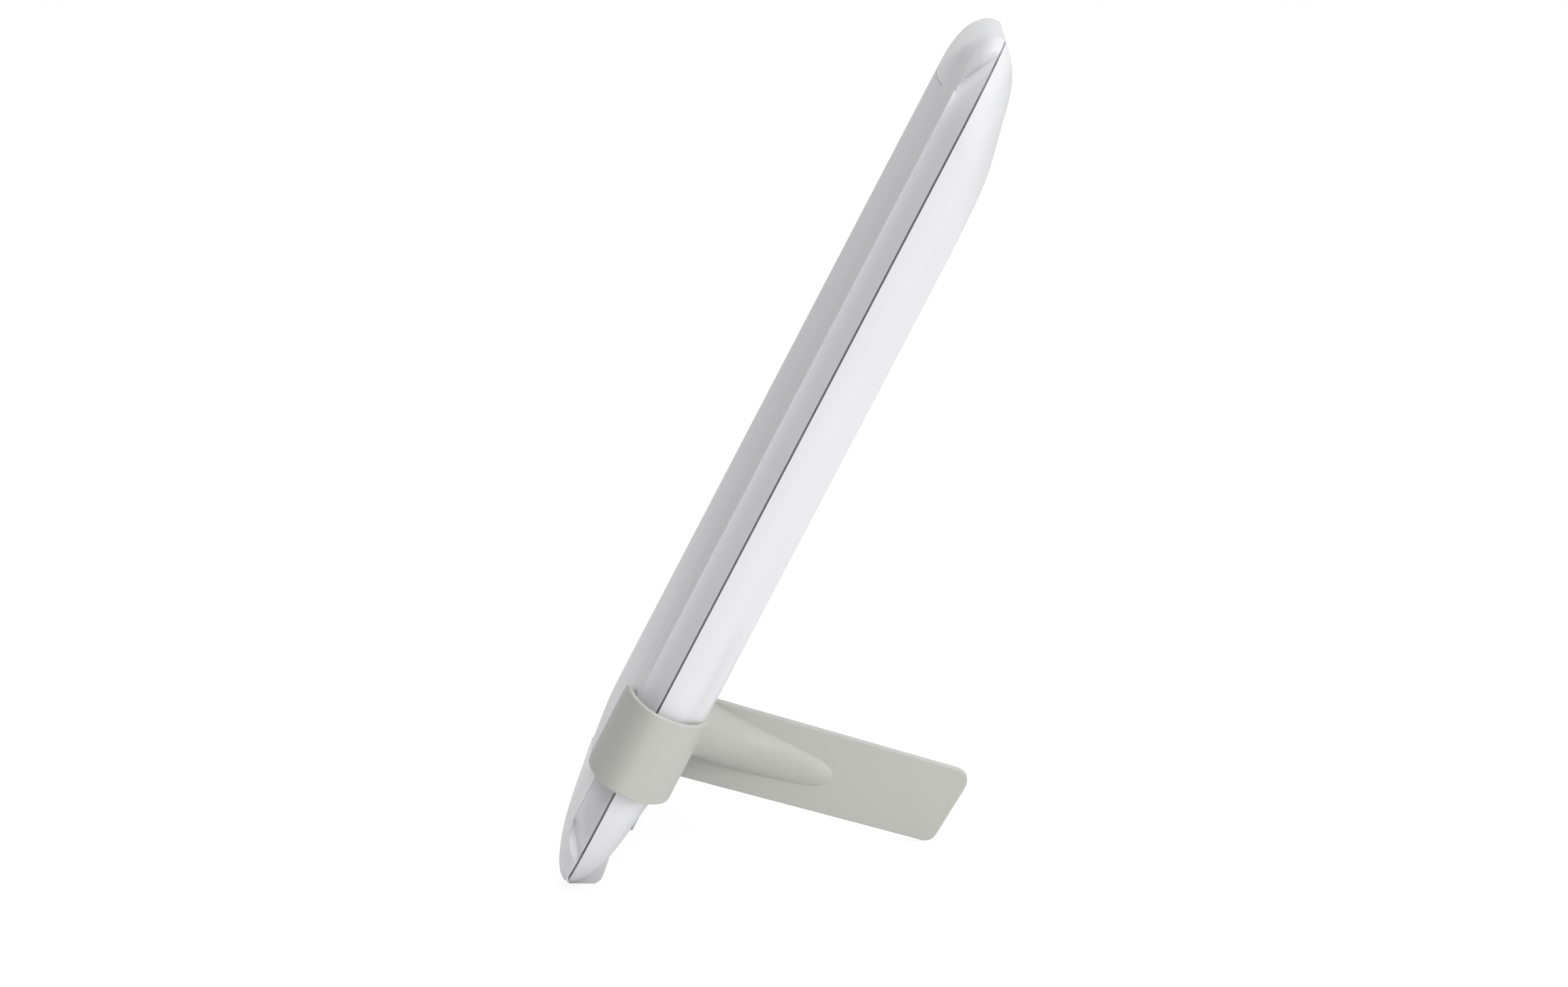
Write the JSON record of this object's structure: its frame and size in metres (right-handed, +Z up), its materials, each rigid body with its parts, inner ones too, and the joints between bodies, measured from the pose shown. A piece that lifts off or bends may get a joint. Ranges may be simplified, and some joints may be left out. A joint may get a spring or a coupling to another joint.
{
  "type": "light therapy lamp",
  "caption": "Slim tablet-shaped light panel that leans back in a one-piece stand with two edge clips and a rear fin.",
  "frame": {"origin": "centre of the lamp's footprint box on the table", "axes": "+X across the panel, +Y from its lit front to the fin at the back, +Z up"},
  "size_m": [0.163, 0.1116, 0.2106],
  "materials": {
    "front_white": "glossy white moulding",
    "rear_white": "satin gloss white moulding",
    "stand_grey": "satin warm grey moulding",
    "opal": "opal light-spreading sheet",
    "foot_white": "soft white pad",
    "foam": "dark closed-cell foam",
    "clear_sheet": "frosted prism sheet",
    "tray_white": "reflective white",
    "board_white": "white-coated aluminium board",
    "led_yellow": "phosphor-coated light chips",
    "metal": "bare rolled aluminium",
    "board_green": "solder mask",
    "black_plastic": "moulded black",
    "can_metal": "sleeved can",
    "coil": "ferrite",
    "pin_metal": "plated contact",
    "lead_red": "red insulation",
    "lead_black": "black insulation",
    "clip_white": "natural nylon",
    "steel": "zinc-plated steel"
  },
  "bodies": {
    "panel": {"capacitor": "can_metal", "dc_jack": "black_plastic", "diffuser": "opal", "diffuser_gasket": "foam", "driver_board": "board_green", "driver_chip": "black_plastic", "driver_screws": "steel", "foot_left": "foot_white", "foot_right": "foot_white", "front_frame": "front_white", "heat_spreader": "metal", "housing_screws": "steel", "inductor": "coil", "jack_pin": "pin_metal", "lead_black": "lead_black", "lead_clip": "clip_white", "lead_red": "lead_red", "led_board": "board_white", "leds": "led_yellow", "prism_sheet": "clear_sheet", "rear_housing": "rear_white", "reflector_tray": "tray_white", "switch_board": "board_green", "switch_body": "black_plastic", "switch_screws": "steel"},
    "stand": {"stand": "stand_grey"},
    "button": {"power_button": "front_white", "switch_plunger": "black_plastic"}
  },
  "joints": [
    {"name": "stand_slide", "type": "slide", "parent": "panel", "child": "stand", "axis": [0, -0.4602, -0.8878], "range_m": [0, 0.06]},
    {"name": "button_press", "type": "slide", "parent": "panel", "child": "button", "axis": [0, 0.8878, -0.4602], "range_m": [0, 0.0006], "stiffness_N_per_m": 2000, "springref_m": -0.0005}
  ]
}
